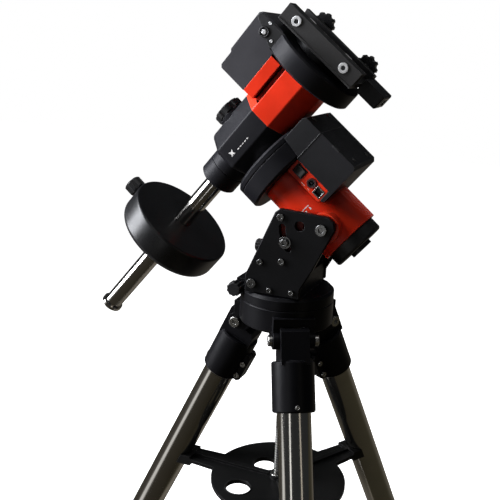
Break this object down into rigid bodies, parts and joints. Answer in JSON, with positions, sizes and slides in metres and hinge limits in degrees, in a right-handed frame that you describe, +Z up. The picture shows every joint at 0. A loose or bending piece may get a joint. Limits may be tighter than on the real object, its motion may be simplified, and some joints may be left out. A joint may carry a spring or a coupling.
{
  "type": "equatorial telescope mount",
  "caption": "Tripod-borne telescope mount with tilted polar axis, declination axis, dovetail saddle and sliding counterweight on a round shaft.",
  "frame": {"origin": "on the floor under the azimuth axis", "axes": "+Z up, +X south, away from the celestial pole, +Y east"},
  "size_m": [0.5823, 0.6666, 0.9879],
  "materials": {
    "black_coat": "satin",
    "red_coat": "satin",
    "black_plastic": "fine texture",
    "steel": "polished",
    "screw_steel": "bright",
    "aluminium": "machined",
    "brass": "machined",
    "rubber": "matte"
  },
  "bodies": {
    "tripod_head": {"tripod_head": "black_coat", "leg_hinge_bolts": "screw_steel", "centre_rod": "steel"},
    "spreader_tray": {"spreader_tray": "black_coat"},
    "tray_knob": {"tray_knob": "black_plastic"},
    "fork": {"azimuth_base": "black_coat", "fork_plates": "black_coat", "fork_screws": "screw_steel", "altitude_pivot_bolts": "screw_steel"},
    "azimuth_knobs": {"azimuth_knobs": "black_coat"},
    "altitude_knob": {"altitude_knob": "black_plastic"},
    "polar_housing": {"ra_housing": "red_coat", "altitude_lock_screws": "screw_steel", "ra_ring_housing": "black_coat", "ra_motor_cover": "black_plastic", "ra_bearings": "screw_steel", "ra_motor": "black_coat", "ra_drive_belt": "rubber", "port_jacks": "black_plastic"},
    "ra_worm": {"ra_worm": "brass"},
    "ra_rear_cap": {"ra_rear_cap": "black_plastic"},
    "power_switch": {"power_switch": "black_plastic"},
    "declination_housing": {"ra_spindle": "aluminium", "dec_lower_housing": "black_coat", "dec_upper_housing": "red_coat", "dec_ring_housing": "black_coat", "dec_motor_cover": "black_plastic", "dec_motor": "black_coat", "dec_drive_belt": "rubber", "counterweight_shaft": "steel"},
    "dec_worm": {"dec_worm": "brass"},
    "front_polar_cap": {"front_polar_cap": "black_plastic"},
    "shaft_end_cap": {"shaft_end_cap": "steel"},
    "counterweight": {"counterweight": "black_coat"},
    "counterweight_knob": {"counterweight_knob": "black_coat"},
    "saddle": {"dec_spindle": "aluminium", "saddle_plate": "black_coat", "saddle_screws": "screw_steel", "saddle_port_box": "black_plastic"},
    "saddle_jaw": {"saddle_jaw": "black_coat"},
    "saddle_knob_north": {"saddle_knob_north": "black_plastic"},
    "saddle_knob_south": {"saddle_knob_south": "black_plastic"},
    "leg_1": {"leg_casting_1": "black_coat", "leg_tube_upper_1": "steel", "leg_collar_1": "black_plastic"},
    "leg_lower_1": {"leg_tube_lower_1": "steel", "leg_foot_1": "rubber"},
    "leg_lock_1": {"leg_lock_knob_1": "black_plastic"},
    "leg_2": {"leg_casting_2": "black_coat", "leg_tube_upper_2": "steel", "leg_collar_2": "black_plastic"},
    "leg_lower_2": {"leg_tube_lower_2": "steel", "leg_foot_2": "rubber"},
    "leg_lock_2": {"leg_lock_knob_2": "black_plastic"},
    "leg_3": {"leg_casting_3": "black_coat", "leg_tube_upper_3": "steel", "leg_collar_3": "black_plastic"},
    "leg_lower_3": {"leg_tube_lower_3": "steel", "leg_foot_3": "rubber"},
    "leg_lock_3": {"leg_lock_knob_3": "black_plastic"}
  },
  "joints": [
    {"name": "leg_fold_1", "type": "hinge", "parent": "tripod_head", "child": "leg_1", "pos_m": [0.0241, -0.04174, 0.66999], "axis": [0.866, 0.5, 0], "range_deg": [0, 15]},
    {"name": "leg_extend_1", "type": "slide", "parent": "leg_1", "child": "leg_lower_1", "axis": [0.2153, -0.3728, -0.9026], "range_m": [-0.2, 0.06]},
    {"name": "leg_lock_turn_1", "type": "hinge", "parent": "leg_1", "child": "leg_lock_1", "pos_m": [0.13481, -0.23349, 0.26152], "axis": [0.4513, -0.7817, 0.4305], "range_deg": [-180, 180]},
    {"name": "leg_fold_2", "type": "hinge", "parent": "tripod_head", "child": "leg_2", "pos_m": [0.0241, 0.04174, 0.66999], "axis": [-0.866, 0.5, 0], "range_deg": [0, 15]},
    {"name": "leg_extend_2", "type": "slide", "parent": "leg_2", "child": "leg_lower_2", "axis": [0.2153, 0.3728, -0.9026], "range_m": [-0.2, 0.06]},
    {"name": "leg_lock_turn_2", "type": "hinge", "parent": "leg_2", "child": "leg_lock_2", "pos_m": [0.13481, 0.23349, 0.26152], "axis": [0.4513, 0.7817, 0.4305], "range_deg": [-180, 180]},
    {"name": "leg_fold_3", "type": "hinge", "parent": "tripod_head", "child": "leg_3", "pos_m": [-0.0482, 0, 0.66999], "axis": [0, -1, 0], "range_deg": [0, 15]},
    {"name": "leg_extend_3", "type": "slide", "parent": "leg_3", "child": "leg_lower_3", "axis": [-0.4305, 0, -0.9026], "range_m": [-0.2, 0.06]},
    {"name": "leg_lock_turn_3", "type": "hinge", "parent": "leg_3", "child": "leg_lock_3", "pos_m": [-0.26961, 0, 0.26152], "axis": [-0.9026, 0, 0.4305], "range_deg": [-180, 180]},
    {"name": "tray_drop", "type": "slide", "parent": "tripod_head", "child": "spreader_tray", "axis": [0, 0, -1], "range_m": [0, 0.3]},
    {"name": "tray_knob_turn", "type": "hinge", "parent": "spreader_tray", "child": "tray_knob", "pos_m": [0, 0, 0.475], "axis": [0, 0, 1], "continuous": true},
    {"name": "azimuth_turn", "type": "hinge", "parent": "tripod_head", "child": "fork", "pos_m": [0, 0, 0.7], "axis": [0, 0, 1], "range_deg": [-5, 5]},
    {"name": "azimuth_knobs_turn", "type": "hinge", "parent": "fork", "child": "azimuth_knobs", "pos_m": [-0.0445, 0, 0.7105], "axis": [0, 1, 0], "range_deg": [-1620, 1620]},
    {"name": "altitude_tilt", "type": "hinge", "parent": "fork", "child": "polar_housing", "pos_m": [0.04666, 0, 0.7855], "axis": [0, 1, 0], "range_deg": [-10, 22], "stiffness_Nm_per_rad": 30000, "springref_deg": 0.02},
    {"name": "altitude_knob_turn", "type": "hinge", "parent": "fork", "child": "altitude_knob", "pos_m": [-0.036, 0, 0.75], "axis": [1, 0, 0], "range_deg": [-3600, 7920]},
    {"name": "ra_turn", "type": "hinge", "parent": "polar_housing", "child": "declination_housing", "pos_m": [-0.0432, 0, 0.8609], "axis": [-0.766, 0, 0.6428], "continuous": true},
    {"name": "ra_worm_turn", "type": "hinge", "parent": "polar_housing", "child": "ra_worm", "pos_m": [0.01568, 0, 0.86776], "axis": [0, 1, 0], "continuous": true},
    {"name": "rear_cap_pull", "type": "slide", "parent": "polar_housing", "child": "ra_rear_cap", "axis": [0.766, 0, -0.6428], "range_m": [0, 0.03]},
    {"name": "power_switch_rock", "type": "hinge", "parent": "polar_housing", "child": "power_switch", "pos_m": [0.01913, -0.0334, 0.83732], "axis": [0.6428, 0, 0.766], "range_deg": [-7, 7]},
    {"name": "dec_turn", "type": "hinge", "parent": "declination_housing", "child": "saddle", "pos_m": [-0.0432, 0, 0.8609], "axis": [0.6428, 0, 0.766], "continuous": true},
    {"name": "dec_worm_turn", "type": "hinge", "parent": "declination_housing", "child": "dec_worm", "pos_m": [-0.01676, 0, 0.95946], "axis": [0, 1, 0], "continuous": true},
    {"name": "front_cap_pull", "type": "slide", "parent": "declination_housing", "child": "front_polar_cap", "axis": [-0.766, 0, 0.6428], "range_m": [0, 0.03]},
    {"name": "counterweight_slide", "type": "slide", "parent": "declination_housing", "child": "counterweight", "axis": [0.6428, 0, 0.766], "range_m": [-0.1, 0.048]},
    {"name": "counterweight_knob_turn", "type": "hinge", "parent": "counterweight", "child": "counterweight_knob", "pos_m": [-0.17915, 0, 0.79222], "axis": [-0.766, 0, 0.6428], "range_deg": [-360, 360]},
    {"name": "shaft_end_cap_turn", "type": "hinge", "parent": "declination_housing", "child": "shaft_end_cap", "pos_m": [-0.21547, 0, 0.6556], "axis": [0.6428, 0, 0.766], "continuous": true},
    {"name": "saddle_jaw_slide", "type": "slide", "parent": "saddle", "child": "saddle_jaw", "axis": [0, 1, 0], "range_m": [-0.004, 0.0018]},
    {"name": "saddle_knob_north_turn", "type": "hinge", "parent": "saddle_jaw", "child": "saddle_knob_north", "pos_m": [0.00806, 0.037, 0.97193], "axis": [0, 1, 0], "range_deg": [-1210, 576]},
    {"name": "saddle_knob_south_turn", "type": "hinge", "parent": "saddle_jaw", "child": "saddle_knob_south", "pos_m": [0.05433, 0.037, 0.9331], "axis": [0, 1, 0], "range_deg": [-1210, 576]}
  ],
  "couplings": [
    {"joint": "leg_fold_2", "follows": "leg_fold_1", "ratio": 1},
    {"joint": "leg_fold_3", "follows": "leg_fold_1", "ratio": 1},
    {"joint": "tray_drop", "follows": "leg_fold_1", "m_per_rad": 1.1448},
    {"joint": "azimuth_knobs_turn", "follows": "azimuth_turn", "ratio": 300},
    {"joint": "altitude_knob_turn", "follows": "altitude_tilt", "ratio": 300},
    {"joint": "ra_worm_turn", "follows": "ra_turn", "ratio": 96},
    {"joint": "dec_worm_turn", "follows": "dec_turn", "ratio": 96},
    {"joint": "saddle_knob_north_turn", "follows": "saddle_jaw_slide", "rad_per_m": 5026.5},
    {"joint": "saddle_knob_south_turn", "follows": "saddle_jaw_slide", "rad_per_m": 5026.5}
  ]
}
